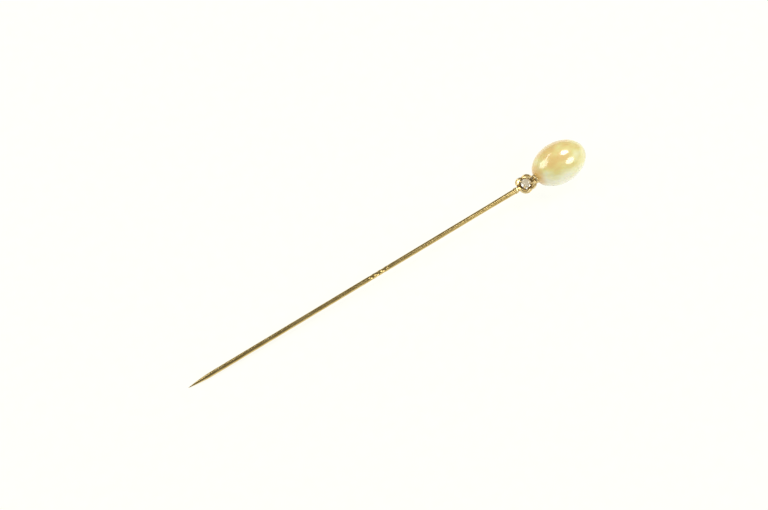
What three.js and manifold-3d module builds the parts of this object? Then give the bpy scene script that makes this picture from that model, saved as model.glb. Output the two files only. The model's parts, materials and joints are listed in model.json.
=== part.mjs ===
// A stick pin: a straight gold wire stem, a four-petal claw setting with one round brilliant,
// and an oval pearl cemented on a peg at the end.
//
// Millimetres. The pin is built along its own +X axis, from the point at x = 0 to the pearl, and
// the stone faces +Z. Last of all it is laid down on its point and its pearl, as on a table.

import * as THREE from 'three';
import { ConvexGeometry } from 'three/addons/geometries/ConvexGeometry.js';
import { mergeVertices } from 'three/addons/utils/BufferGeometryUtils.js';
import Module from 'manifold-3d';

const wasm = await Module();
wasm.setup();

// Driving dimensions

const OVERALL_LENGTH = 70;
const SOLDER_GAP = 0.02; // left between two pieces that are soldered, bedded or cemented together

const WIRE_RADIUS = 0.37;
const POINT_LENGTH = 4.3;
const POINT_TIP_RADIUS = 0.03;
const GRIP_START = 30.8;
const GRIP_LENGTH = 4.3;
const GRIP_TURNS = 1;
const GRIP_FLAT_DEPTH = 0.07; // how far the four twisted flats lie below the round wire
const FLARE_START = 52.4;
const FLARE_RADIUS = 0.41;
const SPIGOT_RADIUS = 0.36;

const HEAD_X = 59.36; // the setting's own axis crosses the stem's axis here
const CLAW_COUNT = 4;
const CLAW_RADIUS = 0.11;
const CLAW_TIP_RADIUS = 0.15;
const CLAW_TIP_REACH = 0.815;
const CLAW_TIP_HEIGHT = 0.58;
const PETAL_CENTRE = 0.72; // from the setting's axis to the middle of a petal's round top
const PETAL_FOOT_CENTRE = 0.55;
const PETAL_RADIUS = 0.9;
const PETAL_TOP = 0.5;
const PETAL_INNER_WALL = 1.04;
const GALLERY_RADIUS = 0.88;
const GALLERY_WIRE_RADIUS = 0.12;
const GALLERY_HEIGHT = -0.22;
const BASE_TOP = -0.76;
const BASE_THICKNESS = 0.2;
const BASE_OUTER_RADIUS = 1;
const BASE_HOLE_RADIUS = 0.3;

const COLLAR_BACK = HEAD_X - 2;
const COLLAR_LENGTH = 0.35;
const COLLAR_RADIUS = 0.48;
const COLLAR_EDGE = 0.05;

const STONE_RADIUS = 0.8;
const STONE_GIRDLE_HEIGHT = 0.4;
const STONE_GIRDLE_THICKNESS = 0.03;
const STONE_TABLE_SHARE = 0.56;
const STONE_CROWN_ANGLE = 34;
const STONE_PAVILION_ANGLE = 40.8;

const PEARL_RADIUS = 3.15;
const PEARL_LENGTH = 8.9;
const PEARL_SHIFT_Y = 0.2; // the hole is drilled a little off the pearl's own centre line
const PEARL_SHIFT_Z = 0.2;
const PEG_RADIUS = 0.3;
const PEG_NECK_RADIUS = 0.36;
const PEG_DEPTH = 4;
const CEMENT_THICKNESS = 0.09;
const CUP_RADIUS = 0.72;
const CUP_BACK = HEAD_X + 1.44;

const GALLERY_OUTER_RADIUS = GALLERY_RADIUS + GALLERY_WIRE_RADIUS;
const SPIGOT_END = HEAD_X - GALLERY_OUTER_RADIUS - SOLDER_GAP;
const PEG_START = HEAD_X + GALLERY_OUTER_RADIUS + SOLDER_GAP;
const PEARL_END = OVERALL_LENGTH - PEARL_LENGTH;
const PEARL_CENTRE_X = OVERALL_LENGTH - PEARL_LENGTH / 2;
const HOLE_RADIUS = PEG_RADIUS + CEMENT_THICKNESS + 2 * SOLDER_GAP;
const HOLE_END = PEARL_END + PEG_DEPTH + CEMENT_THICKNESS + 2 * SOLDER_GAP;

// Materials

function metal(colour, roughness) {
	return new THREE.MeshStandardMaterial({ color: colour, roughness, metalness: 1 });
}

const gold = metal(0xc9a55a, 0.2);
const brightGold = metal(0xe0c27a, 0.15);
const brilliant = new THREE.MeshStandardMaterial({ color: 0xeae2e0, roughness: 0.02, metalness: 0 });
const nacre = new THREE.MeshStandardMaterial({ color: 0xe6dcae, roughness: 0.25, metalness: 0 });
const cement = new THREE.MeshStandardMaterial({ color: 0xd8cfb8, roughness: 0.7, metalness: 0 });

// Making and cutting closed solids

const MERGE_DISTANCE = 1e-4;

// Only the positions are kept, shared vertices are merged, and collapsed triangles are dropped.
function welded(geometry) {
	const bare = geometry.clone();
	bare.deleteAttribute('normal');
	bare.deleteAttribute('uv');
	const merged = mergeVertices(bare, MERGE_DISTANCE);
	const kept = [];
	for (let i = 0; i < merged.index.count; i += 3) {
		const [a, b, c] = [0, 1, 2].map((corner) => merged.index.getX(i + corner));
		if (a !== b && b !== c && c !== a) kept.push(a, b, c);
	}
	merged.setIndex(kept);
	return merged;
}

function toSolid(geometry) {
	const merged = welded(geometry);
	return new wasm.Manifold(new wasm.Mesh({
		numProp: 3,
		vertProperties: new Float32Array(merged.attributes.position.array),
		triVerts: new Uint32Array(merged.index.array),
	}));
}

function toGeometry(solid) {
	const mesh = solid.getMesh();
	const geometry = new THREE.BufferGeometry();
	geometry.setAttribute('position', new THREE.BufferAttribute(mesh.vertProperties, 3));
	geometry.setIndex(new THREE.BufferAttribute(mesh.triVerts, 1));
	return geometry;
}

// A profile of [radius, distance along the axis] pairs, turned about the pin's own X axis.
function turnedAboutX(profile, segments) {
	const points = profile.map(([radius, x]) => new THREE.Vector2(radius, x));
	return welded(new THREE.LatheGeometry(points, segments)).rotateZ(-Math.PI / 2);
}

// The same, turned about the setting's upright axis.
function turnedAboutZ(profile, segments) {
	const points = profile.map(([radius, z]) => new THREE.Vector2(radius, z));
	return welded(new THREE.LatheGeometry(points, segments)).rotateX(Math.PI / 2);
}

// The profile of a plain round bar, for turning.
function barProfile(radius, start, end) {
	return [[0, start], [radius, start], [radius, end], [0, end]];
}

function roundWire(path, radius, steps, sides) {
	const section = new THREE.Shape();
	for (let side = 0; side < sides; side++) {
		const angle = (side / sides) * 2 * Math.PI;
		const point = [radius * Math.cos(angle), radius * Math.sin(angle)];
		if (side === 0) section.moveTo(...point);
		else section.lineTo(...point);
	}
	return new THREE.ExtrudeGeometry(section, { extrudePath: path, steps, bevelEnabled: false });
}

// A point of the setting, from its radius, its angle from a claw in degrees, and its height.
function roundHead(radius, degrees, z) {
	const angle = THREE.MathUtils.degToRad(degrees);
	return new THREE.Vector3(radius * Math.cos(angle), radius * Math.sin(angle), z);
}

// The stem

const STEM_SIDES = 20;
const SHANK_RINGS = 2;
const GRIP_RINGS = 16;

// How deep the twist bites at x: nothing at both ends of the grip, full in its middle.
function gripBite(x) {
	const along = (x - GRIP_START) / GRIP_LENGTH;
	if (along <= 0 || along >= 1) return 0;
	return Math.min(1, 5 * Math.min(along, 1 - along));
}

function stemProfile() {
	const profile = [[0, 0], [POINT_TIP_RADIUS, 0.02]];
	const steps = 6;
	for (let i = 1; i <= steps; i++) {
		const along = i / steps;
		const fullness = Math.sin((along * Math.PI) / 2) ** 0.9;
		const radius = THREE.MathUtils.lerp(POINT_TIP_RADIUS, WIRE_RADIUS, fullness);
		profile.push([radius, POINT_LENGTH * along]);
	}
	for (let i = 1; i < SHANK_RINGS; i++) {
		profile.push([WIRE_RADIUS, THREE.MathUtils.lerp(POINT_LENGTH, GRIP_START, i / SHANK_RINGS)]);
	}
	for (let i = 0; i <= GRIP_RINGS; i++) {
		profile.push([WIRE_RADIUS, GRIP_START + (GRIP_LENGTH * i) / GRIP_RINGS]);
	}
	const shoulder = COLLAR_BACK + COLLAR_LENGTH;
	profile.push([WIRE_RADIUS, FLARE_START]);
	profile.push([FLARE_RADIUS, COLLAR_BACK - 0.3]);
	profile.push([FLARE_RADIUS, shoulder - COLLAR_EDGE]);
	profile.push([SPIGOT_RADIUS, shoulder]);
	profile.push([SPIGOT_RADIUS, SPIGOT_END]);
	profile.push([0, SPIGOT_END]);
	return profile;
}

// A round stem, whose grip stretch is pressed to a rounded square that turns as it goes up.
function stemGeometry() {
	const stem = turnedAboutX(stemProfile(), STEM_SIDES);
	const position = stem.attributes.position;
	for (let i = 0; i < position.count; i++) {
		const x = position.getX(i);
		const twist = (2 * Math.PI * GRIP_TURNS * (x - GRIP_START)) / GRIP_LENGTH;
		const around = Math.atan2(position.getZ(i), position.getY(i)) - twist;
		const flat = GRIP_FLAT_DEPTH * gripBite(x) * (0.5 + 0.5 * Math.cos(4 * around));
		const scale = 1 - flat / WIRE_RADIUS;
		position.setY(i, position.getY(i) * scale);
		position.setZ(i, position.getZ(i) * scale);
	}
	return stem;
}

function collarGeometry() {
	const bore = FLARE_RADIUS + SOLDER_GAP;
	const front = COLLAR_BACK + COLLAR_LENGTH;
	return turnedAboutX([
		[bore, COLLAR_BACK],
		[COLLAR_RADIUS - COLLAR_EDGE, COLLAR_BACK],
		[COLLAR_RADIUS, COLLAR_BACK + COLLAR_EDGE],
		[COLLAR_RADIUS, front - COLLAR_EDGE],
		[COLLAR_RADIUS - COLLAR_EDGE, front],
		[bore, front],
		[bore, COLLAR_BACK],
	], STEM_SIDES);
}

// The setting, about its own upright axis

function baseRingGeometry() {
	const bottom = BASE_TOP - BASE_THICKNESS;
	const edge = 0.05;
	return turnedAboutZ([
		[BASE_HOLE_RADIUS, bottom],
		[BASE_OUTER_RADIUS - edge, bottom],
		[BASE_OUTER_RADIUS, bottom + edge],
		[BASE_OUTER_RADIUS, BASE_TOP - edge],
		[BASE_OUTER_RADIUS - edge, BASE_TOP],
		[BASE_HOLE_RADIUS, BASE_TOP],
		[BASE_HOLE_RADIUS, bottom],
	], 24);
}

function galleryRingGeometry(extra = 0) {
	const ring = new THREE.TorusGeometry(GALLERY_RADIUS, GALLERY_WIRE_RADIUS + extra, 8, 32);
	return ring.translate(0, 0, GALLERY_HEIGHT);
}

// A round lobe with a dished top, that narrows and leans inwards down to its foot.
function petalLobe() {
	const foot = BASE_TOP + SOLDER_GAP;
	const lobe = turnedAboutZ([
		[0, foot],
		[0.43, foot],
		[0.47, -0.5],
		[0.63, -0.15],
		[0.82, 0.12],
		[PETAL_RADIUS, 0.3],
		[PETAL_RADIUS - 0.03, PETAL_TOP - 0.05],
		[PETAL_RADIUS - 0.09, PETAL_TOP],
		[PETAL_RADIUS - 0.15, PETAL_TOP - 0.04],
		[PETAL_RADIUS - 0.21, PETAL_TOP - 0.16],
		[0.4, PETAL_TOP - 0.24],
		[0, PETAL_TOP - 0.26],
	], 40);
	const position = lobe.attributes.position;
	for (let i = 0; i < position.count; i++) {
		const up = Math.min(1, (position.getZ(i) - foot) / (0.3 - foot));
		const centre = THREE.MathUtils.lerp(PETAL_FOOT_CENTRE, PETAL_CENTRE, up);
		position.setX(i, position.getX(i) + centre);
	}
	return toSolid(lobe);
}

// The quarter of the setting that one petal may fill, a solder gap away from its neighbours.
function petalQuarter() {
	const start = SOLDER_GAP * Math.SQRT1_2;
	const reach = 3;
	const wedge = new THREE.Shape();
	wedge.moveTo(start, 0);
	wedge.lineTo(start + reach, -reach);
	wedge.lineTo(start + reach, reach);
	const prism = new THREE.ExtrudeGeometry(wedge, { depth: 4, bevelEnabled: false });
	return toSolid(prism.translate(0, 0, -2));
}

// The room that the claws and the stone need in the middle of the setting.
function settingRoom() {
	return toSolid(turnedAboutZ([
		[0, -2],
		[0.6, -2],
		[0.6, BASE_TOP],
		[PETAL_INNER_WALL, 0.1],
		[PETAL_INNER_WALL, 2],
		[0, 2],
	], 48));
}

// A round-bottomed channel along +X, open at the top, for the stem or the neck to lie in.
function stemChannel() {
	const radius = SPIGOT_RADIUS + SOLDER_GAP;
	const section = new THREE.Shape();
	section.moveTo(-radius, 2);
	section.lineTo(-radius, 0);
	section.absarc(0, 0, radius, Math.PI, 2 * Math.PI);
	section.lineTo(radius, 2);
	const bar = new THREE.ExtrudeGeometry(section, { depth: 3, curveSegments: 12, bevelEnabled: false });
	return bar.rotateX(Math.PI / 2).rotateZ(Math.PI / 2);
}

// One petal, with the channel cut in the side that faces the stem: -1 is clockwise, 1 the other.
function petalGeometry(side) {
	const channel = stemChannel().rotateZ((side * Math.PI) / CLAW_COUNT);
	return toGeometry(petalLobe()
		.intersect(petalQuarter())
		.subtract(settingRoom())
		.subtract(toSolid(galleryRingGeometry(SOLDER_GAP)))
		.subtract(toSolid(channel)));
}

// A wire that rises inside the gallery ring and ends in a rounded tip bent over the stone.
function clawGeometry(stone) {
	const path = new THREE.CatmullRomCurve3([
		roundHead(0.44, 0, BASE_TOP + SOLDER_GAP),
		roundHead(0.46, 0, BASE_TOP + 0.12),
		roundHead(0.63, 0, GALLERY_HEIGHT),
		roundHead(0.8, 0, 0.1),
		roundHead(0.905, 0, 0.34),
		roundHead(0.895, 0, 0.5),
		roundHead(CLAW_TIP_REACH, 0, CLAW_TIP_HEIGHT),
	]);
	const tip = new THREE.SphereGeometry(CLAW_TIP_RADIUS, 12, 8);
	tip.translate(CLAW_TIP_REACH, 0, CLAW_TIP_HEIGHT);
	const claw = toSolid(roundWire(path, CLAW_RADIUS, 12, 8)).add(toSolid(tip));
	return toGeometry(claw.subtract(toSolid(stone)));
}

// A round brilliant about its own upright axis. Bezel and pavilion facets are planes that meet
// the girdle at their own angle, and every corner of the stone lies on them.
function stoneGeometry(extra = 0) {
	const radius = STONE_RADIUS + extra;
	const crown = Math.tan(THREE.MathUtils.degToRad(STONE_CROWN_ANGLE));
	const pavilion = Math.tan(THREE.MathUtils.degToRad(STONE_PAVILION_ANGLE));
	const halfGirdle = STONE_GIRDLE_THICKNESS / 2 + extra;
	const halfStep = Math.cos(Math.PI / 8);
	const tableCorner = STONE_TABLE_SHARE * radius;
	const starCorner = 0.79 * radius;
	const pavilionCorner = 0.23 * radius;
	const corners = [new THREE.Vector3(0, 0, -halfGirdle - radius * pavilion)];
	const add = (r, degrees, z) => corners.push(roundHead(r, degrees, z));
	for (let i = 0; i < 8; i++) {
		const main = 45 * i;
		const between = main + 22.5;
		add(tableCorner, main, halfGirdle + (radius - tableCorner) * crown);
		add(starCorner, between, halfGirdle + (radius - starCorner * halfStep) * crown);
		add(pavilionCorner, between, -halfGirdle - (radius - pavilionCorner * halfStep) * pavilion);
		for (const degrees of [main, between]) {
			add(radius, degrees, halfGirdle);
			add(radius, degrees, -halfGirdle);
		}
	}
	return new ConvexGeometry(corners).translate(0, 0, STONE_GIRDLE_HEIGHT);
}

// The pearl and what holds it

function pearlBody(extra = 0) {
	const pearl = new THREE.SphereGeometry(1, 32, 22).rotateY(Math.PI / 32).rotateZ(Math.PI / 2);
	pearl.scale(PEARL_LENGTH / 2 + extra, PEARL_RADIUS + extra, PEARL_RADIUS + extra);
	return toSolid(pearl.translate(PEARL_CENTRE_X, PEARL_SHIFT_Y, PEARL_SHIFT_Z));
}

function pearlGeometry() {
	const start = PEARL_END - 1;
	const hole = turnedAboutX(barProfile(HOLE_RADIUS, start, HOLE_END), 16);
	return toGeometry(pearlBody().subtract(toSolid(hole)));
}

// A short neck between the setting and the cup, and a thinner peg on into the pearl.
function pegGeometry() {
	const neckEnd = CUP_BACK - SOLDER_GAP;
	const end = PEARL_END + PEG_DEPTH;
	return turnedAboutX([
		[0, PEG_START],
		[PEG_NECK_RADIUS, PEG_START],
		[PEG_NECK_RADIUS, neckEnd],
		[PEG_RADIUS, neckEnd],
		[PEG_RADIUS, end],
		[0, end],
	], 16);
}

// Fills the drilled hole round the peg and at its end.
function cementGeometry() {
	const inner = PEG_RADIUS + SOLDER_GAP;
	const outer = inner + CEMENT_THICKNESS;
	const mouth = PEARL_END + 0.1;
	const floor = PEARL_END + PEG_DEPTH + SOLDER_GAP;
	return turnedAboutX([
		[inner, mouth],
		[outer, mouth],
		[outer, floor + CEMENT_THICKNESS],
		[0, floor + CEMENT_THICKNESS],
		[0, floor],
		[inner, floor],
		[inner, mouth],
	], 16);
}

// A saucer bored for the peg, its hollow shaped by the pearl that it beds.
function cupGeometry() {
	const bore = PEG_RADIUS + SOLDER_GAP;
	const front = PEARL_END + 0.2;
	const blank = turnedAboutX([
		[bore, CUP_BACK],
		[0.52, CUP_BACK],
		[CUP_RADIUS - 0.04, CUP_BACK + 0.08],
		[CUP_RADIUS, CUP_BACK + 0.14],
		[CUP_RADIUS, front],
		[bore, front],
		[bore, CUP_BACK],
	], 28);
	return toGeometry(toSolid(blank).subtract(pearlBody(SOLDER_GAP)));
}

// Assembly

function named(name, geometry, material) {
	const mesh = new THREE.Mesh(geometry, material);
	mesh.name = name;
	return mesh;
}

function stoneSetting() {
	const setting = new THREE.Group();
	setting.add(named('base_ring', baseRingGeometry(), gold));
	setting.add(named('gallery_ring', galleryRingGeometry(), gold));
	setting.add(named('diamond', stoneGeometry(), brilliant));
	const petals = [petalGeometry(-1), petalGeometry(1)];
	const claw = clawGeometry(stoneGeometry(SOLDER_GAP));
	for (let i = 0; i < CLAW_COUNT; i++) {
		const quarter = new THREE.Group();
		quarter.add(named(`petal_${i + 1}`, petals[i % 2], brightGold));
		quarter.add(named(`claw_${i + 1}`, claw, brightGold));
		quarter.rotation.z = ((i + 0.5) * 2 * Math.PI) / CLAW_COUNT;
		setting.add(quarter);
	}
	setting.position.x = HEAD_X;
	return setting;
}

function wholePin() {
	const pin = new THREE.Group();
	pin.add(named('pin_stem', stemGeometry(), gold));
	pin.add(named('stem_collar', collarGeometry(), brightGold));
	pin.add(stoneSetting());
	pin.add(named('pearl_cup', cupGeometry(), brightGold));
	pin.add(named('pearl_peg', pegGeometry(), gold));
	pin.add(named('pearl_cement', cementGeometry(), cement));
	pin.add(named('pearl', pearlGeometry(), nacre));
	return pin;
}

// The pin lies on the shoulder of its point and on its pearl, so its axis rises towards the pearl.
function laidDown(pin) {
	const rise = PEARL_RADIUS - PEARL_SHIFT_Z - WIRE_RADIUS;
	pin.rotation.y = -Math.atan(rise / (PEARL_CENTRE_X - POINT_LENGTH));
	pin.updateMatrixWorld(true);
	const box = new THREE.Box3().setFromObject(pin, true);
	const centre = box.getCenter(new THREE.Vector3());
	pin.position.set(-centre.x, -centre.y, -box.min.z);
	const table = new THREE.Group();
	table.add(pin);
	return table;
}

export default laidDown(wholePin());
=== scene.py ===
# %% [markdown]
# # A pearl and diamond stick pin
# A stick pin is a straight gold wire with a jewel on its end, pushed through a tie or a lapel.
# The wire is drawn, ground to a point and twisted a little in the middle so that it grips cloth.
# The jewel here is a round brilliant, held by four claws among four gold petals, and behind it
# one oval pearl.
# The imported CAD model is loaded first, because it fixes the size and place of every piece.

import json
import math

import bmesh
import bpy
from mathutils import Matrix, Vector


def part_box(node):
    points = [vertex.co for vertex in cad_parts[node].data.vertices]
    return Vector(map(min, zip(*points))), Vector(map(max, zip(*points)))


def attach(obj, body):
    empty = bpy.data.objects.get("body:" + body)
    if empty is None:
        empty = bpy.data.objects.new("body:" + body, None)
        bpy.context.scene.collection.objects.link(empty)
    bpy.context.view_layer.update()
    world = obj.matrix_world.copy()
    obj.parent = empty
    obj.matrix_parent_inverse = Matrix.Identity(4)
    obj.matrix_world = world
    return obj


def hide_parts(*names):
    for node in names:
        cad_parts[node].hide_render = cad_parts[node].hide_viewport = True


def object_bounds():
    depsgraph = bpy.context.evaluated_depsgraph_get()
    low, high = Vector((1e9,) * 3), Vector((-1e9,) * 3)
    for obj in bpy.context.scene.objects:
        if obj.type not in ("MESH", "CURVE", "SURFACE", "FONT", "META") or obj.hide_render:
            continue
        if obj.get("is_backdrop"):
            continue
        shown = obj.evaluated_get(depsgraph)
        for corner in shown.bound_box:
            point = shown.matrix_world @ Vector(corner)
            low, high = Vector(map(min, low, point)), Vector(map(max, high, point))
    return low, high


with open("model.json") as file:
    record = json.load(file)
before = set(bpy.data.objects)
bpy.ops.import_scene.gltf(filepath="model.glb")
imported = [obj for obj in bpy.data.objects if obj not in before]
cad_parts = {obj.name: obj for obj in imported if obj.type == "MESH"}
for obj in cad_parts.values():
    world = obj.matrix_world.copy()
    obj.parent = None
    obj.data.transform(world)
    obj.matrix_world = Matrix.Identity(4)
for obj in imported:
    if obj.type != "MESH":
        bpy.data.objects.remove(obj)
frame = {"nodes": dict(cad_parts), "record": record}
cad_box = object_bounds()
print("nodes:", sorted(frame["nodes"]))

# %% [markdown]
# ## The bench and the table
# The pin is easiest to make as a goldsmith makes it, straight along one axis, in millimetres,
# with its tip at zero and its stone facing up. On the table it lies on its point and its pearl,
# so its axis rises a little. The tilt is read from the foot of the setting, which faces straight
# away from the stone, and the place from the small collar, whose middle is on the axis.
# Pieces that are soldered, bedded or cemented together keep a hair's gap, SOLDER_GAP.

# %% Find how the pin lies
MM = 0.001
SOLDER_GAP = 0.02
HEAD_X = 59.36
COLLAR_BACK = HEAD_X - 2
COLLAR_LENGTH = 0.35

foot_facing = Vector(frame["record"]["mounts"][0]["axis"])
TILT = math.asin(foot_facing.x)
PIN_AXIS = Vector((math.cos(TILT), 0, math.sin(TILT)))
collar_low, collar_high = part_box("stem_collar")
collar_middle = (COLLAR_BACK + COLLAR_LENGTH / 2) * MM
PIN_TIP = (collar_low + collar_high) / 2 - PIN_AXIS * collar_middle
BENCH_TO_TABLE = Matrix.Translation(PIN_TIP) @ Matrix.Rotation(-TILT, 4, "Y") @ Matrix.Scale(MM, 4)
print("tilt", round(math.degrees(TILT), 3), "tip", [round(c / MM, 4) for c in PIN_TIP])

# %% [markdown]
# ## Bench tools
# The same few moves come back for every piece: pick one object, pick some of its points by
# where they are, close and smooth the shape, and lay the finished piece on the table.
# A finished piece keeps its place in its own mesh, so its object ends up at the origin.

# %% Bench tools


def pick(piece):
    bpy.ops.object.select_all(action="DESELECT")
    piece.select_set(True)
    bpy.context.view_layer.objects.active = piece


def start_edit(piece):
    pick(piece)
    bpy.ops.object.mode_set(mode="EDIT")
    bpy.ops.mesh.select_mode(type="VERT")


def end_edit():
    bpy.ops.object.mode_set(mode="OBJECT")


def pick_points(piece, wanted):
    mesh = bmesh.from_edit_mesh(piece.data)
    for point in mesh.verts:
        point.select = wanted(point.co)
    mesh.select_flush_mode()
    bmesh.update_edit_mesh(piece.data)


def name_new(name):
    piece = bpy.context.object
    piece.name = name
    piece.data.name = name
    bpy.ops.object.transform_apply(location=True, rotation=True, scale=True)
    return piece


def use_modifier(piece, kind, **settings):
    pick(piece)
    modifier = piece.modifiers.new(kind.title(), kind)
    for setting, value in settings.items():
        setattr(modifier, setting, value)
    bpy.ops.object.modifier_apply(modifier=modifier.name)


def close_shape(piece, smooth_angle=30):
    start_edit(piece)
    bpy.ops.mesh.select_all(action="SELECT")
    bpy.ops.mesh.remove_doubles(threshold=1e-4)
    bpy.ops.mesh.normals_make_consistent(inside=False)
    end_edit()
    bpy.ops.object.shade_smooth_by_angle(angle=math.radians(smooth_angle))


def hand_over(piece, nodes, material, at=0.0):
    """Lays a bench piece on the table, dresses it, and lets it stand for its CAD nodes."""
    pick(piece)
    piece.matrix_world = BENCH_TO_TABLE @ Matrix.Translation((at, 0, 0))
    bpy.ops.object.transform_apply(location=True, rotation=True, scale=True)
    piece.data.materials.clear()
    piece.data.materials.append(material)
    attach(piece, "root")
    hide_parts(*nodes)
    corners = [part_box(node) for node in nodes]
    low = [min(box[0][i] for box in corners) for i in range(3)]
    high = [max(box[1][i] for box in corners) for i in range(3)]
    off_low = [min(v.co[i] for v in piece.data.vertices) - low[i] for i in range(3)]
    off_high = [max(v.co[i] for v in piece.data.vertices) - high[i] for i in range(3)]
    off = max(abs(gap) for gap in off_low + off_high) / MM
    print(f"{piece.name}: {len(piece.data.polygons)} faces, {off:.3f} mm from its CAD box")


# %% [markdown]
# ## Finishes
# Every finish on the pin is built from Object coordinates, turned along the pin and measured in
# a grain size, so that a pattern follows the piece it is on and not the table.
# A Mapping node of the Texture kind does that: it takes away the place, then the turn, then
# divides by the grain.

# %% Material tools


def new_finish(name, **sockets):
    material = bpy.data.materials.new(name)
    material.use_nodes = True
    shader = material.node_tree.nodes["Principled BSDF"]
    for socket, value in sockets.items():
        shader.inputs[socket.replace("_", " ")].default_value = value
    return material, material.node_tree, shader


def add_node(tree, kind, settings=None, **sockets):
    node = tree.nodes.new("ShaderNode" + kind)
    for setting, value in (settings or {}).items():
        setattr(node, setting, value)
    for socket, value in sockets.items():
        node.inputs[socket].default_value = value
    return node


def along_pin(tree, grain, at=0.0):
    """Coordinates that run along the pin from `at`, one unit to each grain of so many mm."""
    place = add_node(tree, "TexCoord")
    turn = add_node(tree, "Mapping", {"vector_type": "TEXTURE"})
    turn.inputs["Location"].default_value = PIN_TIP + PIN_AXIS * at * MM
    turn.inputs["Rotation"].default_value = (0, -TILT, 0)
    turn.inputs["Scale"].default_value = [size * MM for size in grain]
    tree.links.new(place.outputs["Object"], turn.inputs["Vector"])
    return turn.outputs["Vector"]


def noise(tree, vector, detail=3.0, roughness=0.5, distortion=0.0):
    made = add_node(tree, "TexNoise", Scale=1.0, Detail=detail, Roughness=roughness)
    made.inputs["Distortion"].default_value = distortion
    tree.links.new(vector, made.inputs["Vector"])
    return made.outputs["Fac"]


def ramp(tree, factor, stops):
    """A colour ramp through (place, colour) stops. A grey is given as one number."""
    made = add_node(tree, "ValToRGB")
    while len(made.color_ramp.elements) < len(stops):
        made.color_ramp.elements.new(0.5)
    for element, (place, colour) in zip(made.color_ramp.elements, stops):
        rgb = (colour,) * 3 if isinstance(colour, float) else colour
        element.position = place
        element.color = (*rgb, 1)
    tree.links.new(factor, made.inputs["Fac"])
    return made.outputs["Color"]


def fade(tree, value, span, most):
    """Rises from 0 to `most` as the value goes from the first end of the span to the other."""
    made = add_node(tree, "MapRange", {"interpolation_type": "SMOOTHSTEP"})
    for socket, amount in zip(("From Min", "From Max", "To Min", "To Max"), (*span, 0, most)):
        made.inputs[socket].default_value = amount
    tree.links.new(value, made.inputs["Value"])
    return made.outputs["Result"]


def bump(tree, height, depth_mm, strength, after=None):
    made = add_node(tree, "Bump", Strength=strength, Distance=depth_mm * MM)
    tree.links.new(height, made.inputs["Height"])
    if after is not None:
        tree.links.new(after, made.inputs["Normal"])
    return made.outputs["Normal"]


# %% [markdown]
# ### Gold
# Drawn wire carries faint lines along its length, from the draw plate, and a stem that has been
# wiped for years has fine scratches and soft dull patches between them. The colour is a pale
# yellow gold. A noise stretched along the wire gives the lines, and a round one the patches.

# %% Gold for the stem
gold_wire, tree, shader = new_finish("drawn gold", Metallic=1.0)
patches = noise(tree, along_pin(tree, (1.6, 0.5, 0.5)), detail=4)
colour = ramp(tree, patches, [(0.3, (0.60, 0.42, 0.14)), (0.7, (0.78, 0.60, 0.26))])
tree.links.new(colour, shader.inputs["Base Color"])
lines = noise(tree, along_pin(tree, (3.0, 0.03, 0.03)), detail=2)
tree.links.new(ramp(tree, lines, [(0.3, 0.18), (0.7, 0.28)]), shader.inputs["Roughness"])
waves = noise(tree, along_pin(tree, (1.1, 0.6, 0.6)), detail=2)
line_normal = bump(tree, lines, 0.004, 0.08)
wave_normal = bump(tree, waves, 0.02, 0.07, line_normal)
tree.links.new(wave_normal, shader.inputs["Normal"])
print("drawn gold:", len(tree.nodes), "nodes")

# %% [markdown]
# The setting is the same gold, polished brighter. An Ambient Occlusion node finds its corners,
# and there the colour is darkened to brown: partly the dirt and old polish a setting keeps in its
# corners, partly painted shade, as the corners are where shade falls.

# %% Gold for the setting
gold_setting, tree, shader = new_finish("polished gold", Metallic=1.0)
patches = noise(tree, along_pin(tree, (0.5, 0.5, 0.5)), detail=4)
clean = ramp(tree, patches, [(0.3, (0.68, 0.53, 0.24)), (0.7, (0.82, 0.67, 0.36))])
corners = add_node(tree, "AmbientOcclusion", {"samples": 8}, Distance=0.35 * MM)
# Painted shade with dirt: the colour is darkened to brown in the corners that the Ambient Occlusion
# node finds.
grime_and_shade = ramp(tree, corners.outputs["AO"], [(0.12, (0.36, 0.25, 0.10)), (0.75, (1.0, 1.0, 1.0))])
mix = add_node(tree, "Mix", {"data_type": "RGBA", "blend_type": "MULTIPLY"})
mix.inputs["Factor"].default_value = 1.0
tree.links.new(clean, mix.inputs[6])
tree.links.new(grime_and_shade, mix.inputs[7])
tree.links.new(mix.outputs[2], shader.inputs["Base Color"])
scuffs = noise(tree, along_pin(tree, (0.12, 0.12, 0.12)), detail=5)
tree.links.new(ramp(tree, scuffs, [(0.35, 0.30), (0.75, 0.50)]), shader.inputs["Roughness"])
tree.links.new(bump(tree, scuffs, 0.006, 0.4), shader.inputs["Normal"])
print("polished gold:", len(tree.nodes), "nodes")

# %% [markdown]
# ### Nacre
# A cultured pearl is built of thin clear layers over a shell bead. Light goes a little way in,
# so it has some subsurface scattering, and its skin is a clear smooth coat. Its own colour is a
# gold that changes in broad soft zones with a random drift and turns cream near the cup. On its
# lower, nearer side it is painted cream as well, which is a painted reflection of the lit white
# floor. One deeper spot is painted where it faces the camera. That spot is a painted dark
# reflection of the room around the lens, where the body colour shows without pale light on it.
# Right at the cup an orange glow is painted in, for the light of the gold cup behind it. A little
# sheen stands for the pale light that the layers throw back at the pearl's edge.

# %% Nacre
PEARL_CENTRE_X = 65.55
PEARL_HALF_LENGTH = 4.45
PEARL_RADIUS = 3.15
# The side where the pearl keeps its gold. The opposite side gets a painted floor reflection.
SIDE_AWAY_FROM_FLOOR_SHINE = (0.0, 0.30, 0.17)
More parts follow.
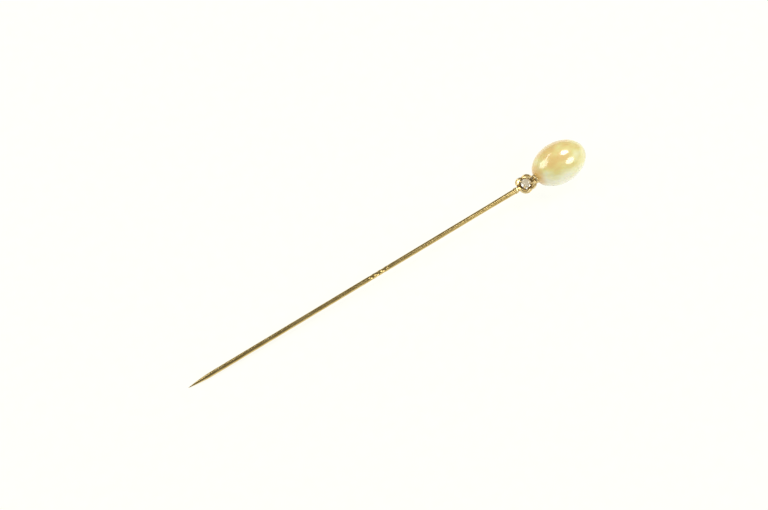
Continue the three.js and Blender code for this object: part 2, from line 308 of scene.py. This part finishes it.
# The point that faces the camera, where a painted dark reflection of the room deepens the colour.
DARK_REFLECTION_SPOT = (-0.16, -0.46, 0.86)
nacre, tree, shader = new_finish(
    "golden nacre",
    Roughness=0.32,
    IOR=1.53,
    Coat_Weight=0.9,
    Coat_Roughness=0.10,
    Coat_IOR=1.68,
    Subsurface_Weight=0.2,
    Subsurface_Radius=(1.0, 0.8, 0.5),
    Subsurface_Scale=0.4 * MM,
    Sheen_Weight=0.22,
    Sheen_Roughness=0.45,
    Sheen_Tint=(1.0, 0.97, 0.86, 1),
)
place = along_pin(tree, (PEARL_HALF_LENGTH, PEARL_RADIUS, PEARL_RADIUS), PEARL_CENTRE_X)
# Painted reflection: the pearl turns cream away from this side, on its lower, nearer side, for the lit
# white floor it mirrors there.
away_from_floor_shine = add_node(tree, "VectorMath", {"operation": "DOT_PRODUCT"})
away_from_floor_shine.inputs[1].default_value = SIDE_AWAY_FROM_FLOOR_SHINE
tree.links.new(place, away_from_floor_shine.inputs[0])
drift = noise(tree, along_pin(tree, (3.2, 1.9, 1.9), PEARL_CENTRE_X), detail=2)
zone = add_node(tree, "Math", {"operation": "ADD"})
tree.links.new(away_from_floor_shine.outputs["Value"], zone.inputs[0])
tree.links.new(drift, zone.inputs[1])
split = add_node(tree, "SeparateXYZ")
tree.links.new(place, split.inputs["Vector"])
paler = fade(tree, split.outputs["X"], (-0.45, -0.75), 0.12)
zone_less = add_node(tree, "Math", {"operation": "SUBTRACT"})
tree.links.new(zone.outputs["Value"], zone_less.inputs[0])
tree.links.new(paler, zone_less.inputs[1])
# Painted dark reflection: the colour deepens near the point that faces the camera.
from_dark_reflection = add_node(tree, "VectorMath", {"operation": "DISTANCE"})
from_dark_reflection.inputs[1].default_value = DARK_REFLECTION_SPOT
tree.links.new(place, from_dark_reflection.inputs[0])
dark_reflection = fade(tree, from_dark_reflection.outputs["Value"], (0.62, 0.22), 0.24)
zone_more = add_node(tree, "Math", {"operation": "ADD"})
tree.links.new(zone_less.outputs["Value"], zone_more.inputs[0])
tree.links.new(dark_reflection, zone_more.inputs[1])
# Body colour with painted light in it. The pale end stands partly for the layers' cream near the cup
# and partly for the painted floor reflection. The deep end is reached at the painted dark reflection.
body = ramp(tree, zone_more.outputs["Value"], [
    (0.20, (0.99, 0.97, 0.71)),
    (0.38, (0.94, 0.91, 0.52)),
    (0.56, (0.88, 0.79, 0.31)),
    (0.76, (0.84, 0.61, 0.22)),
])
# Painted glow: at the cup end the colour is mixed towards orange, for the light of the gold cup behind
# the pearl.
cup_glow_share = fade(tree, split.outputs["X"], (-0.74, -0.95), 0.85)
glow = add_node(tree, "Mix", {"data_type": "RGBA"})
glow.inputs[7].default_value = (0.85, 0.50, 0.10, 1)
tree.links.new(cup_glow_share, glow.inputs["Factor"])
tree.links.new(body, glow.inputs[6])
tree.links.new(glow.outputs[2], shader.inputs["Base Color"])
print("golden nacre:", len(tree.nodes), "nodes")

# %% [markdown]
# ### Diamond and cement
# The stone has a faint warm tint and a high index of refraction. It is less clear than a real
# one, because a stone this small otherwise turns grey when it is seen from far away. Close up
# that makes it look milky. The cement is a matt cream paste that never shows, but it still gets
# a grain of its own.

# %% Diamond
brilliant, tree, shader = new_finish(
    "warm diamond", Roughness=0.06, IOR=2.417, Transmission_Weight=0.42
)
tint = noise(tree, along_pin(tree, (0.4, 0.4, 0.4), HEAD_X), detail=1)
tree.links.new(
    ramp(tree, tint, [(0.3, (1.0, 0.85, 0.58)), (0.7, (1.0, 0.93, 0.72))]),
    shader.inputs["Base Color"],
)
print("warm diamond:", len(tree.nodes), "nodes")

# %% Cement
cement, tree, shader = new_finish("pearl cement", Roughness=0.8)
grit = noise(tree, along_pin(tree, (0.08, 0.08, 0.08)), detail=6)
tree.links.new(
    ramp(tree, grit, [(0.3, (0.74, 0.69, 0.58)), (0.7, (0.86, 0.82, 0.72))]),
    shader.inputs["Base Color"],
)
tree.links.new(bump(tree, grit, 0.01, 0.6), shader.inputs["Normal"])
frame["nodes"]["pearl_cement"].data.materials.clear()
frame["nodes"]["pearl_cement"].data.materials.append(cement)
print("pearl cement:", len(tree.nodes), "nodes")

# %% [markdown]
# ## The stem
# The real stem is one length of drawn wire. It can be made here from a circle that is extruded
# ring by ring, because its section only changes with its length: a ground point, the round
# shank, the grip, a slight flare and the end that goes into the head.

# %% Raise a round bar ring by ring


def raise_bar(name, stations, sides, lean=None):
    """Extrudes a disc along the bench axis through (distance, radius) stations.

    lean, if given, tells how far off the axis the middle of the bar is at a distance.
    """
    off = [lean(x) if lean else 0 for x, radius in stations]
    bpy.ops.object.select_all(action="DESELECT")
    bpy.ops.mesh.primitive_circle_add(
        vertices=sides,
        radius=stations[0][1],
        fill_type="NGON",
        location=(stations[0][0], 0, -off[0]),
        rotation=(0, math.pi / 2, 0),
    )
    bar = name_new(name)
    start_edit(bar)
    bpy.ops.mesh.select_all(action="SELECT")
    for i in range(1, len(stations)):
        step = (stations[i][0] - stations[i - 1][0], 0, off[i - 1] - off[i])
        grow = stations[i][1] / stations[i - 1][1]
        bpy.ops.mesh.extrude_region_move(TRANSFORM_OT_translate={"value": step})
        middle = (stations[i][0], 0, -off[i])
        bpy.ops.transform.resize(value=(1, grow, grow), center_override=middle)
    end_edit()
    return bar


def stand_up(bar, turn=0):
    """Turns a bar from lying along the bench to standing on the setting's own axis."""
    pick(bar)
    bar.rotation_euler = (0, -math.pi / 2, math.radians(turn))
    bpy.ops.object.transform_apply(location=True, rotation=True, scale=True)
    return bar


# %% Stations of the stem
STEM_SIDES = 32
WIRE_RADIUS = 0.37
POINT_LENGTH = 4.3
TIP_RADIUS = 0.03
TIP_BALL = 0.02
GRIP_START = 30.8
GRIP_LENGTH = 4.3
GRIP_RINGS = 64
FLARE_START = 52.4
FLARE_MIDDLE = (55.0, 0.391)
FLARE_RADIUS = 0.41
SPIGOT_RADIUS = 0.36
SPIGOT_END = HEAD_X - 1.02

stations = [(0.0, 0.012), (0.008, 0.023)]
for i in range(25):
    along = i / 24
    fullness = math.sin(along * math.pi / 2) ** 0.9
    radius = TIP_RADIUS + (WIRE_RADIUS - TIP_RADIUS) * fullness
    stations.append((TIP_BALL + (POINT_LENGTH - TIP_BALL) * along, radius))
for i in range(1, 8):
    stations.append((POINT_LENGTH + (GRIP_START - POINT_LENGTH) * i / 8, WIRE_RADIUS))
for i in range(GRIP_RINGS + 1):
    stations.append((GRIP_START + GRIP_LENGTH * i / GRIP_RINGS, WIRE_RADIUS))
stations += [(41.0, WIRE_RADIUS), (47.0, WIRE_RADIUS), (FLARE_START, WIRE_RADIUS)]
shoulder = COLLAR_BACK + COLLAR_LENGTH
stations += [FLARE_MIDDLE, (COLLAR_BACK - 0.3, FLARE_RADIUS), (shoulder - 0.05, FLARE_RADIUS)]
stations += [(shoulder, SPIGOT_RADIUS), (SPIGOT_END - 0.08, SPIGOT_RADIUS)]
stations += [(SPIGOT_END - 0.02, SPIGOT_RADIUS - 0.03), (SPIGOT_END, SPIGOT_RADIUS - 0.08)]
stem = raise_bar("drawn_stem", stations, STEM_SIDES)
print("stem:", len(stations), "rings")

# %% [markdown]
# The grip was made by pressing four flats along the wire and twisting that stretch once round.
# The same two steps work here. Points are pressed in by how near they are to a flat's middle,
# with less pressure at both ends of the grip, and a Twist does the turn. The flats are a little
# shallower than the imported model's, which softens their glints.

# %% Press the flats and twist the grip
FLAT_DEPTH = 0.04
GRIP_TURNS = 1
SIDE_STEP = 360 / STEM_SIDES


def press(x):
    along = (x - GRIP_START) / GRIP_LENGTH
    return max(0.0, min(1.0, 5 * min(along, 1 - along)))


start_edit(stem)
for i in range(1, GRIP_RINGS):
    x = GRIP_START + GRIP_LENGTH * i / GRIP_RINGS
    for step in range(4):
        weight = 0.5 + 0.5 * math.cos(math.radians(4 * SIDE_STEP * step))
        depth = FLAT_DEPTH * weight * press(x)

        def on_flat(point):
            if abs(point.x - x) > 0.01:
                return False
            turn = math.degrees(math.atan2(point.z, point.y)) % 90
            return abs(min(turn, 90 - turn) - SIDE_STEP * step) < 1

        pick_points(stem, on_flat)
        keep = 1 - depth / WIRE_RADIUS
        bpy.ops.transform.resize(value=(1, keep, keep), center_override=(x, 0, 0))
end_edit()
length = stations[-1][0]
use_modifier(
    stem,
    "SIMPLE_DEFORM",
    deform_method="TWIST",
    deform_axis="X",
    angle=2 * math.pi * GRIP_TURNS,
    limits=(GRIP_START / length, (GRIP_START + GRIP_LENGTH) / length),
)
close_shape(stem, 35)
hand_over(stem, ["pin_stem"], gold_wire)

# %% [markdown]
# ## Rings
# The collar, the gallery ring and the foot ring are each one small section turned once round.
# A plane or a circle is the section, its corners are rounded, and Spin turns it. After a spin
# the first and last sections are merged, and the faces are turned outwards.

# %% Turn a section into a ring


def spin_ring(name, axis, steps):
    """Spins the active flat section once round an axis through the bench origin."""
    ring = name_new(name)
    start_edit(ring)
    bpy.ops.mesh.select_all(action="SELECT")
    bpy.ops.mesh.spin(steps=steps, angle=2 * math.pi, center=(0, 0, 0), axis=axis)
    bpy.ops.mesh.select_all(action="SELECT")
    bpy.ops.mesh.remove_doubles(threshold=1e-4)
    end_edit()
    return ring


def square_section(name, centre, size, rotation, corner):
    """A flat rectangle with rounded corners, ready to spin."""
    bpy.ops.object.select_all(action="DESELECT")
    bpy.ops.mesh.primitive_plane_add(size=1, location=centre, rotation=rotation)
    bpy.context.object.scale = (*size, 1)
    section = name_new(name)
    start_edit(section)
    bpy.ops.mesh.select_all(action="SELECT")
    bpy.ops.mesh.bevel(offset=corner, segments=4, affect="VERTICES")
    bpy.ops.mesh.delete(type="ONLY_FACE")
    end_edit()
    return section


def round_section(name, centre, radius, sides, rotation):
    bpy.ops.object.select_all(action="DESELECT")
    bpy.ops.mesh.primitive_circle_add(
        vertices=sides, radius=radius, location=centre, rotation=rotation
    )
    return name_new(name)


# %% Collar
COLLAR_BORE = FLARE_RADIUS + SOLDER_GAP
COLLAR_RADIUS = 0.48
square_section(
    "stem_sleeve",
    (0, 0, (COLLAR_BORE + COLLAR_RADIUS) / 2),
    (COLLAR_LENGTH, COLLAR_RADIUS - COLLAR_BORE),
    (math.pi / 2, 0, 0),
    0.024,
)
collar = spin_ring("stem_sleeve", (1, 0, 0), 64)
close_shape(collar, 40)
hand_over(collar, ["stem_collar"], gold_setting, COLLAR_BACK + COLLAR_LENGTH / 2)

# %% Gallery ring and foot ring
GALLERY_RADIUS = 0.88
GALLERY_WIRE = 0.12
GALLERY_HEIGHT = -0.22
gallery_start = (GALLERY_RADIUS, 0, GALLERY_HEIGHT)
round_section("gallery_wire", gallery_start, GALLERY_WIRE, 20, (math.pi / 2, 0, 0))
gallery = spin_ring("gallery_wire", (0, 0, 1), 72)
close_shape(gallery, 60)
hand_over(gallery, ["gallery_ring"], gold_setting, HEAD_X)

FOOT_HOLE = 0.3
FOOT_RADIUS = 1.0
FOOT_TOP = -0.76
FOOT_THICKNESS = 0.2
square_section(
    "foot_plate",
    ((FOOT_HOLE + FOOT_RADIUS) / 2, 0, FOOT_TOP - FOOT_THICKNESS / 2),
    (FOOT_RADIUS - FOOT_HOLE, FOOT_THICKNESS),
    (math.pi / 2, 0, 0),
    0.06,
)
foot = spin_ring("foot_plate", (0, 0, 1), 72)
close_shape(foot, 40)
hand_over(foot, ["base_ring"], gold_setting, HEAD_X)

# %% [markdown]
# ## The brilliant
# A cutter grinds flat facets on a round blank, and the same can be done here: a cylinder is cut
# by one plane for each facet. Each plane is set through three corners of the finished stone, so
# the eight bezels, eight stars, sixteen upper and sixteen lower girdle facets and the eight
# pavilion mains all meet where they should.

# %% Corners of the stone
STONE_RADIUS = 0.8
STONE_HEIGHT = 0.4
HALF_GIRDLE = 0.015
BLANK_DEPTH = 1.6
TABLE_SHARE = 0.56
STAR_SHARE = 0.79
PAVILION_SHARE = 0.23
CROWN_SLOPE = math.tan(math.radians(34))
PAVILION_SLOPE = math.tan(math.radians(40.8))
HALF_STEP = math.cos(math.pi / 8)


def around(radius, degrees, z):
    turn = math.radians(degrees)
    return Vector((radius * math.cos(turn), radius * math.sin(turn), z))


def table_corner(degrees):
    radius = TABLE_SHARE * STONE_RADIUS
    return around(radius, degrees, HALF_GIRDLE + (STONE_RADIUS - radius) * CROWN_SLOPE)


def star_corner(degrees):
    radius = STAR_SHARE * STONE_RADIUS
    return around(radius, degrees, HALF_GIRDLE + (STONE_RADIUS - radius * HALF_STEP) * CROWN_SLOPE)


def pavilion_corner(degrees):
    radius = PAVILION_SHARE * STONE_RADIUS
    depth = HALF_GIRDLE + (STONE_RADIUS - radius * HALF_STEP) * PAVILION_SLOPE
    return around(radius, degrees, -depth)


def girdle_corner(degrees, side):
    return around(STONE_RADIUS, degrees, side * HALF_GIRDLE)


culet = Vector((0, 0, -HALF_GIRDLE - STONE_RADIUS * PAVILION_SLOPE))
facets = [[table_corner(0), table_corner(135), table_corner(225)]]
for main in range(0, 360, 45):
    next_main, between, last_between = main + 45, main + 22.5, main - 22.5
    facets.append([table_corner(main), star_corner(between), star_corner(last_between)])
    facets.append([table_corner(main), table_corner(next_main), star_corner(between)])
    facets.append([pavilion_corner(between), pavilion_corner(last_between), culet])
    for corner in (main, next_main):
        facets.append([girdle_corner(corner, 1), girdle_corner(between, 1), star_corner(between)])
        facets.append([girdle_corner(corner, -1), girdle_corner(between, -1), pavilion_corner(between)])
print("facets to cut:", len(facets))

# %% Cut the stone
bpy.ops.object.select_all(action="DESELECT")
bpy.ops.mesh.primitive_cylinder_add(vertices=96, radius=STONE_RADIUS, depth=BLANK_DEPTH)
stone = name_new("round_brilliant")
start_edit(stone)
for a, b, c in facets:
    facing = (b - a).cross(c - a).normalized()
    if facing.dot(a) < 0:
        facing = -facing
    bpy.ops.mesh.select_all(action="SELECT")
    bpy.ops.mesh.bisect(plane_co=a, plane_no=facing, use_fill=True, clear_outer=True)
bpy.ops.mesh.select_all(action="SELECT")
bpy.ops.mesh.remove_doubles(threshold=1e-4)
bpy.ops.mesh.normals_make_consistent(inside=False)
bpy.ops.transform.translate(value=(0, 0, STONE_HEIGHT))
end_edit()
bpy.ops.object.shade_flat()
hand_over(stone, ["diamond"], brilliant, HEAD_X)

# %% [markdown]
# ## Petals and claws
# A claw is bent wire, which is a curve with a round bevel. It rises inside the gallery ring, and
# swells into a bead that is pressed over the edge of the stone. A petal is a round bar that leans
# out and widens from its foot, with a dished top. What the stone, the gallery ring and the stem
# need is cut out of it. The shapes are made once, then copied and turned to the four corners.

# %% Bend a wire


def bend_wire(name, points, radius, swell=None):
    """A round wire through the points. swell gives a share of the radius at each point."""
    curve = bpy.data.curves.new(name, "CURVE")
    curve.dimensions = "3D"
    curve.bevel_depth = radius
    curve.bevel_resolution = 5
    curve.resolution_u = 10
    curve.use_fill_caps = True
    spline = curve.splines.new("BEZIER")
    spline.bezier_points.add(len(points) - 1)
    for i, (knot, point) in enumerate(zip(spline.bezier_points, points)):
        knot.co = point
        knot.handle_left_type = knot.handle_right_type = "AUTO"
        knot.radius = swell[i] if swell else 1.0
    wire = bpy.data.objects.new(name, curve)
    bpy.context.scene.collection.objects.link(wire)
    pick(wire)
    bpy.ops.object.convert(target="MESH")
    wire = bpy.context.object
    close_shape(wire, 50)
    return wire


def place_round(pattern, name, node, corners):
    """Copies a piece to some of the setting's four corners, each copy with its own mesh."""
    for corner in corners:
        pick(pattern)
        bpy.ops.object.duplicate()
        copy = bpy.context.object
        copy.name = f"{name}_{corner}"
        copy.data.name = copy.name
        copy.rotation_euler = (0, 0, math.radians(90 * corner - 45))
        bpy.ops.object.transform_apply(location=True, rotation=True, scale=True)
        hand_over(copy, [f"{node}_{corner}"], gold_setting, HEAD_X)
    bpy.data.objects.remove(pattern)


def cut_away(piece, tool):
    use_modifier(piece, "BOOLEAN", operation="DIFFERENCE", solver="EXACT", object=tool)
    bpy.data.objects.remove(tool)


# %% Petals
PETAL_RADIUS = 0.9
PETAL_TOP = 0.5
PETAL_FOOT = FOOT_TOP + SOLDER_GAP
PETAL_BELLY = 0.3
PETAL_FOOT_LEAN = 0.55
PETAL_LEAN_OUT = 0.17
PETAL_INNER_WALL = 1.04
FOOT_INNER_WALL = 0.6
CHANNEL_RADIUS = SPIGOT_RADIUS + SOLDER_GAP
CHANNEL_START = 0.3
CHANNEL_END = 3

petal_stations = [
    (PETAL_FOOT, 0.41),
    (PETAL_FOOT + 0.02, 0.43),
    (PETAL_FOOT + 0.1, 0.44),
    (-0.5, 0.47),
    (-0.33, 0.54),
    (-0.15, 0.63),
    (0.0, 0.73),
    (0.12, 0.82),
    (0.22, 0.878),
    (PETAL_BELLY, PETAL_RADIUS),
    (0.38, PETAL_RADIUS - 0.008),
    (PETAL_TOP - 0.04, PETAL_RADIUS - 0.035),
    (PETAL_TOP - 0.01, PETAL_RADIUS - 0.07),
    (PETAL_TOP, PETAL_RADIUS - 0.1),
    (PETAL_TOP - 0.015, PETAL_RADIUS - 0.135),
    (PETAL_TOP - 0.06, PETAL_RADIUS - 0.17),
    (PETAL_TOP - 0.16, PETAL_RADIUS - 0.22),
    (PETAL_TOP - 0.22, 0.5),
    (PETAL_TOP - 0.25, 0.25),
]


def petal_lean(height):
    """How far the middle of a petal is from the setting's axis at a height."""
    rise = min(1, (height - PETAL_FOOT) / (PETAL_BELLY - PETAL_FOOT))
    return PETAL_FOOT_LEAN + PETAL_LEAN_OUT * rise


def make_petal(side):
    """One petal. The stem's channel is cut in the clockwise side (-1) or the other (1)."""
    petal = stand_up(raise_bar("petal", petal_stations, 96, petal_lean))
    start_edit(petal)
    for turn in (-45, 45):
        outwards = Vector((-1, math.copysign(1, turn), 0)).normalized()
        bpy.ops.mesh.select_all(action="SELECT")
        bpy.ops.mesh.bisect(
            plane_co=-SOLDER_GAP / 2 * outwards, plane_no=outwards, use_fill=True, clear_outer=True
        )
    end_edit()
    room = [(-1, FOOT_INNER_WALL), (FOOT_TOP, FOOT_INNER_WALL)]
    room += [(0.1, PETAL_INNER_WALL), (1, PETAL_INNER_WALL)]
    cut_away(petal, stand_up(raise_bar("room", room, 128)))
    bpy.ops.object.select_all(action="DESELECT")
    bpy.ops.mesh.primitive_torus_add(
        major_radius=GALLERY_RADIUS,
        minor_radius=GALLERY_WIRE + SOLDER_GAP,
        major_segments=96,
        minor_segments=20,
        location=(0, 0, GALLERY_HEIGHT),
    )
    cut_away(petal, name_new("gallery_groove"))
    ends = [(CHANNEL_START, CHANNEL_RADIUS), (CHANNEL_END, CHANNEL_RADIUS)]
    channel = raise_bar("channel", ends, 48)
    start_edit(channel)
    pick_points(channel, lambda point: point.z > 0.001)
    bpy.ops.transform.translate(value=(0, 0, 1))
    end_edit()
    channel.rotation_euler = (0, 0, side * math.pi / 4)
    cut_away(petal, channel)
    close_shape(petal, 35)
    return petal


place_round(make_petal(-1), "petal_cup", "petal", (1, 3))
place_round(make_petal(1), "petal_cup", "petal", (2, 4))

# %% Claws
CLAW_WIRE = 0.11
claw_points = [
    around(0.44, 0, FOOT_TOP + SOLDER_GAP),
    around(0.46, 0, FOOT_TOP + 0.12),
    around(0.63, 0, GALLERY_HEIGHT),
    around(0.80, 0, 0.1),
    around(0.905, 0, 0.34),
    around(0.905, 0, 0.5),
    around(0.865, 0, 0.57),
    around(0.795, 0, 0.6),
    around(0.715, 0, 0.59),
    around(0.675, 0, 0.58),
]
claw_swell = [1, 1, 1, 1, 1, 1.05, 1.3, 1.36, 0.9, 0.05]
claw = bend_wire("claw", claw_points, CLAW_WIRE, claw_swell)
place_round(claw, "claw_wire", "claw", (1, 2, 3, 4))

# %% [markdown]
# ## The pearl and its cup
# The pearl is a sphere drawn out along the pin, with a hole drilled for the peg. The cup is a
# turned disc, hollowed by the pearl itself so that the pearl beds in it with a hair of cement.

# %% Pearl
PEARL_SHIFT = 0.2
PEARL_BACK = PEARL_CENTRE_X - PEARL_HALF_LENGTH
HOLE_RADIUS = 0.43
HOLE_END = 65.23


def pearl_shape(name, grow, segments, rings):
    bpy.ops.object.select_all(action="DESELECT")
    bpy.ops.mesh.primitive_uv_sphere_add(
        segments=segments,
        ring_count=rings,
        radius=1,
        location=(PEARL_CENTRE_X, PEARL_SHIFT, PEARL_SHIFT),
        rotation=(0, math.pi / 2, 0),
    )
    bpy.context.object.scale = (PEARL_RADIUS + grow, PEARL_RADIUS + grow, PEARL_HALF_LENGTH + grow)
    return name_new(name)


pearl = pearl_shape("oval_pearl", 0, 128, 96)
drill = raise_bar("drill", [(PEARL_BACK - 1, HOLE_RADIUS), (HOLE_END, HOLE_RADIUS)], 32)
cut_away(pearl, drill)
close_shape(pearl, 50)
hand_over(pearl, ["pearl"], nacre)

# %% Cup
CUP_BACK = HEAD_X + 1.44
CUP_RADIUS = 0.72
PEG_RADIUS = 0.3
cup_stations = [
    (CUP_BACK, 0.48),
    (CUP_BACK + 0.02, 0.56),
    (CUP_BACK + 0.06, 0.66),
    (CUP_BACK + 0.11, 0.705),
    (CUP_BACK + 0.18, CUP_RADIUS),
    (CUP_BACK + 0.5, CUP_RADIUS),
]
cup = raise_bar("pearl_saucer", cup_stations, 64)
bore_radius = PEG_RADIUS + SOLDER_GAP
cut_away(cup, pearl_shape("hollow", SOLDER_GAP, 96, 64))
cut_away(cup, raise_bar("bore", [(CUP_BACK - 0.5, bore_radius), (CUP_BACK + 0.8, bore_radius)], 32))
close_shape(cup, 40)
hand_over(cup, ["pearl_cup"], gold_setting)

# %% Peg
PEG_START = HEAD_X + 1.02
PEG_NECK = 0.36
PEG_END = 65.1
peg_stations = [
    (PEG_START, PEG_NECK - 0.06),
    (PEG_START + 0.03, PEG_NECK - 0.01),
    (PEG_START + 0.08, PEG_NECK),
    (CUP_BACK - SOLDER_GAP, PEG_NECK),
    (CUP_BACK - SOLDER_GAP + 0.001, PEG_RADIUS),
    (PEG_END - 0.05, PEG_RADIUS),
    (PEG_END, PEG_RADIUS - 0.05),
]
peg = raise_bar("pearl_post", peg_stations, 32)
close_shape(peg, 35)
hand_over(peg, ["pearl_peg"], gold_wire)

# %% [markdown]
# ## Table, light and camera
# Small jewellery is often shown on a plain white base that is lit from below, so that it is
# nearly pure white and takes hardly any shadow. The darker room between the lamps is what gives
# metal its depth. Three soft round lamps stand right, over and left of the pin, where they make
# the pearl's highlights, and a narrow one behind makes a thin streak beside the left one.

# %% Floor
FLOOR_SIZE = 1.6
bpy.ops.object.select_all(action="DESELECT")
bpy.ops.mesh.primitive_plane_add(size=FLOOR_SIZE, location=(0, 0, 0))
floor = bpy.context.object
floor.name = "table_top"
lit_base, tree, shader = new_finish(
    "lit white acrylic", Roughness=0.85, Specular_IOR_Level=0.1, Emission_Strength=0.92
)
grain = add_node(tree, "TexNoise", Scale=600.0, Detail=4.0)
place = add_node(tree, "TexCoord")
tree.links.new(place.outputs["Object"], grain.inputs["Vector"])
tree.links.new(
    ramp(tree, grain.outputs["Fac"], [(0.3, (0.10, 0.10, 0.08)), (0.7, (0.12, 0.12, 0.10))]),
    shader.inputs["Base Color"],
)
shader.inputs["Emission Color"].default_value = (1.0, 1.0, 0.945, 1)
floor.data.materials.append(lit_base)
floor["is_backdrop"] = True
print("floor:", FLOOR_SIZE, "m wide")

# %% Room and lamps
LAMP_DISTANCE = 0.30
room = bpy.data.worlds.new("room")
room.use_nodes = True
room_light = room.node_tree.nodes["Background"]
room_light.inputs["Color"].default_value = (0.95, 0.93, 0.90, 1)
room_light.inputs["Strength"].default_value = 0.18
bpy.context.scene.world = room


def soft_lamp(name, direction, size, power):
    """An oval soft lamp of some width and height, in a direction from the pearl, facing it."""
    aim = PIN_TIP + PIN_AXIS * PEARL_CENTRE_X * MM
    towards = Vector(direction).normalized()
    lamp = bpy.data.lights.new(name, "AREA")
    lamp.shape = "ELLIPSE"
    lamp.size, lamp.size_y = size
    lamp.energy = power
    stand = bpy.data.objects.new(name, lamp)
    stand.location = aim + towards * LAMP_DISTANCE
    stand.rotation_euler = towards.to_track_quat("Z", "Y").to_euler()
    bpy.context.scene.collection.objects.link(stand)
    print(name, [round(c, 3) for c in stand.location])


soft_lamp("lamp_over", (0.445, 0.125, 0.887), (0.12, 0.12), 0.35)
soft_lamp("lamp_right", (0.50, -0.646, 0.576), (0.15, 0.15), 0.37)
soft_lamp("lamp_left", (-0.662, 0.374, 0.649), (0.22, 0.22), 0.44)
soft_lamp("lamp_strip", (-0.188, 0.63, 0.754), (0.11, 0.035), 0.05)

# %% Camera
VIEW_ELEVATION = math.radians(58)
VIEW_TURN = math.radians(34.07)
VIEW_DISTANCE = 0.40
VIEW_LENS = 126.86
aim = Vector((0.855, 2.797, 0.0)) * MM
towards = Vector((
    -math.sin(VIEW_TURN) * math.cos(VIEW_ELEVATION),
    -math.cos(VIEW_TURN) * math.cos(VIEW_ELEVATION),
    math.sin(VIEW_ELEVATION),
))
camera = bpy.data.cameras.new("camera")
camera.lens = VIEW_LENS
camera.clip_start = 0.01
camera_stand = bpy.data.objects.new("camera", camera)
camera_stand.location = aim + towards * VIEW_DISTANCE
camera_stand.rotation_euler = towards.to_track_quat("Z", "Y").to_euler()
bpy.context.scene.collection.objects.link(camera_stand)
bpy.context.scene.camera = camera_stand
bpy.context.scene.view_settings.view_transform = "Standard"
print("camera", [round(c, 3) for c in camera_stand.location])

# %% [markdown]
# ## Size of the model
# The finished model has to fill the same box as the imported one.

# %% Sizes
made_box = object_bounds()
for name, box in (("packed", cad_box), ("made", made_box)):
    print(name, [round((high - low) / MM, 3) for low, high in zip(*box)], "mm")
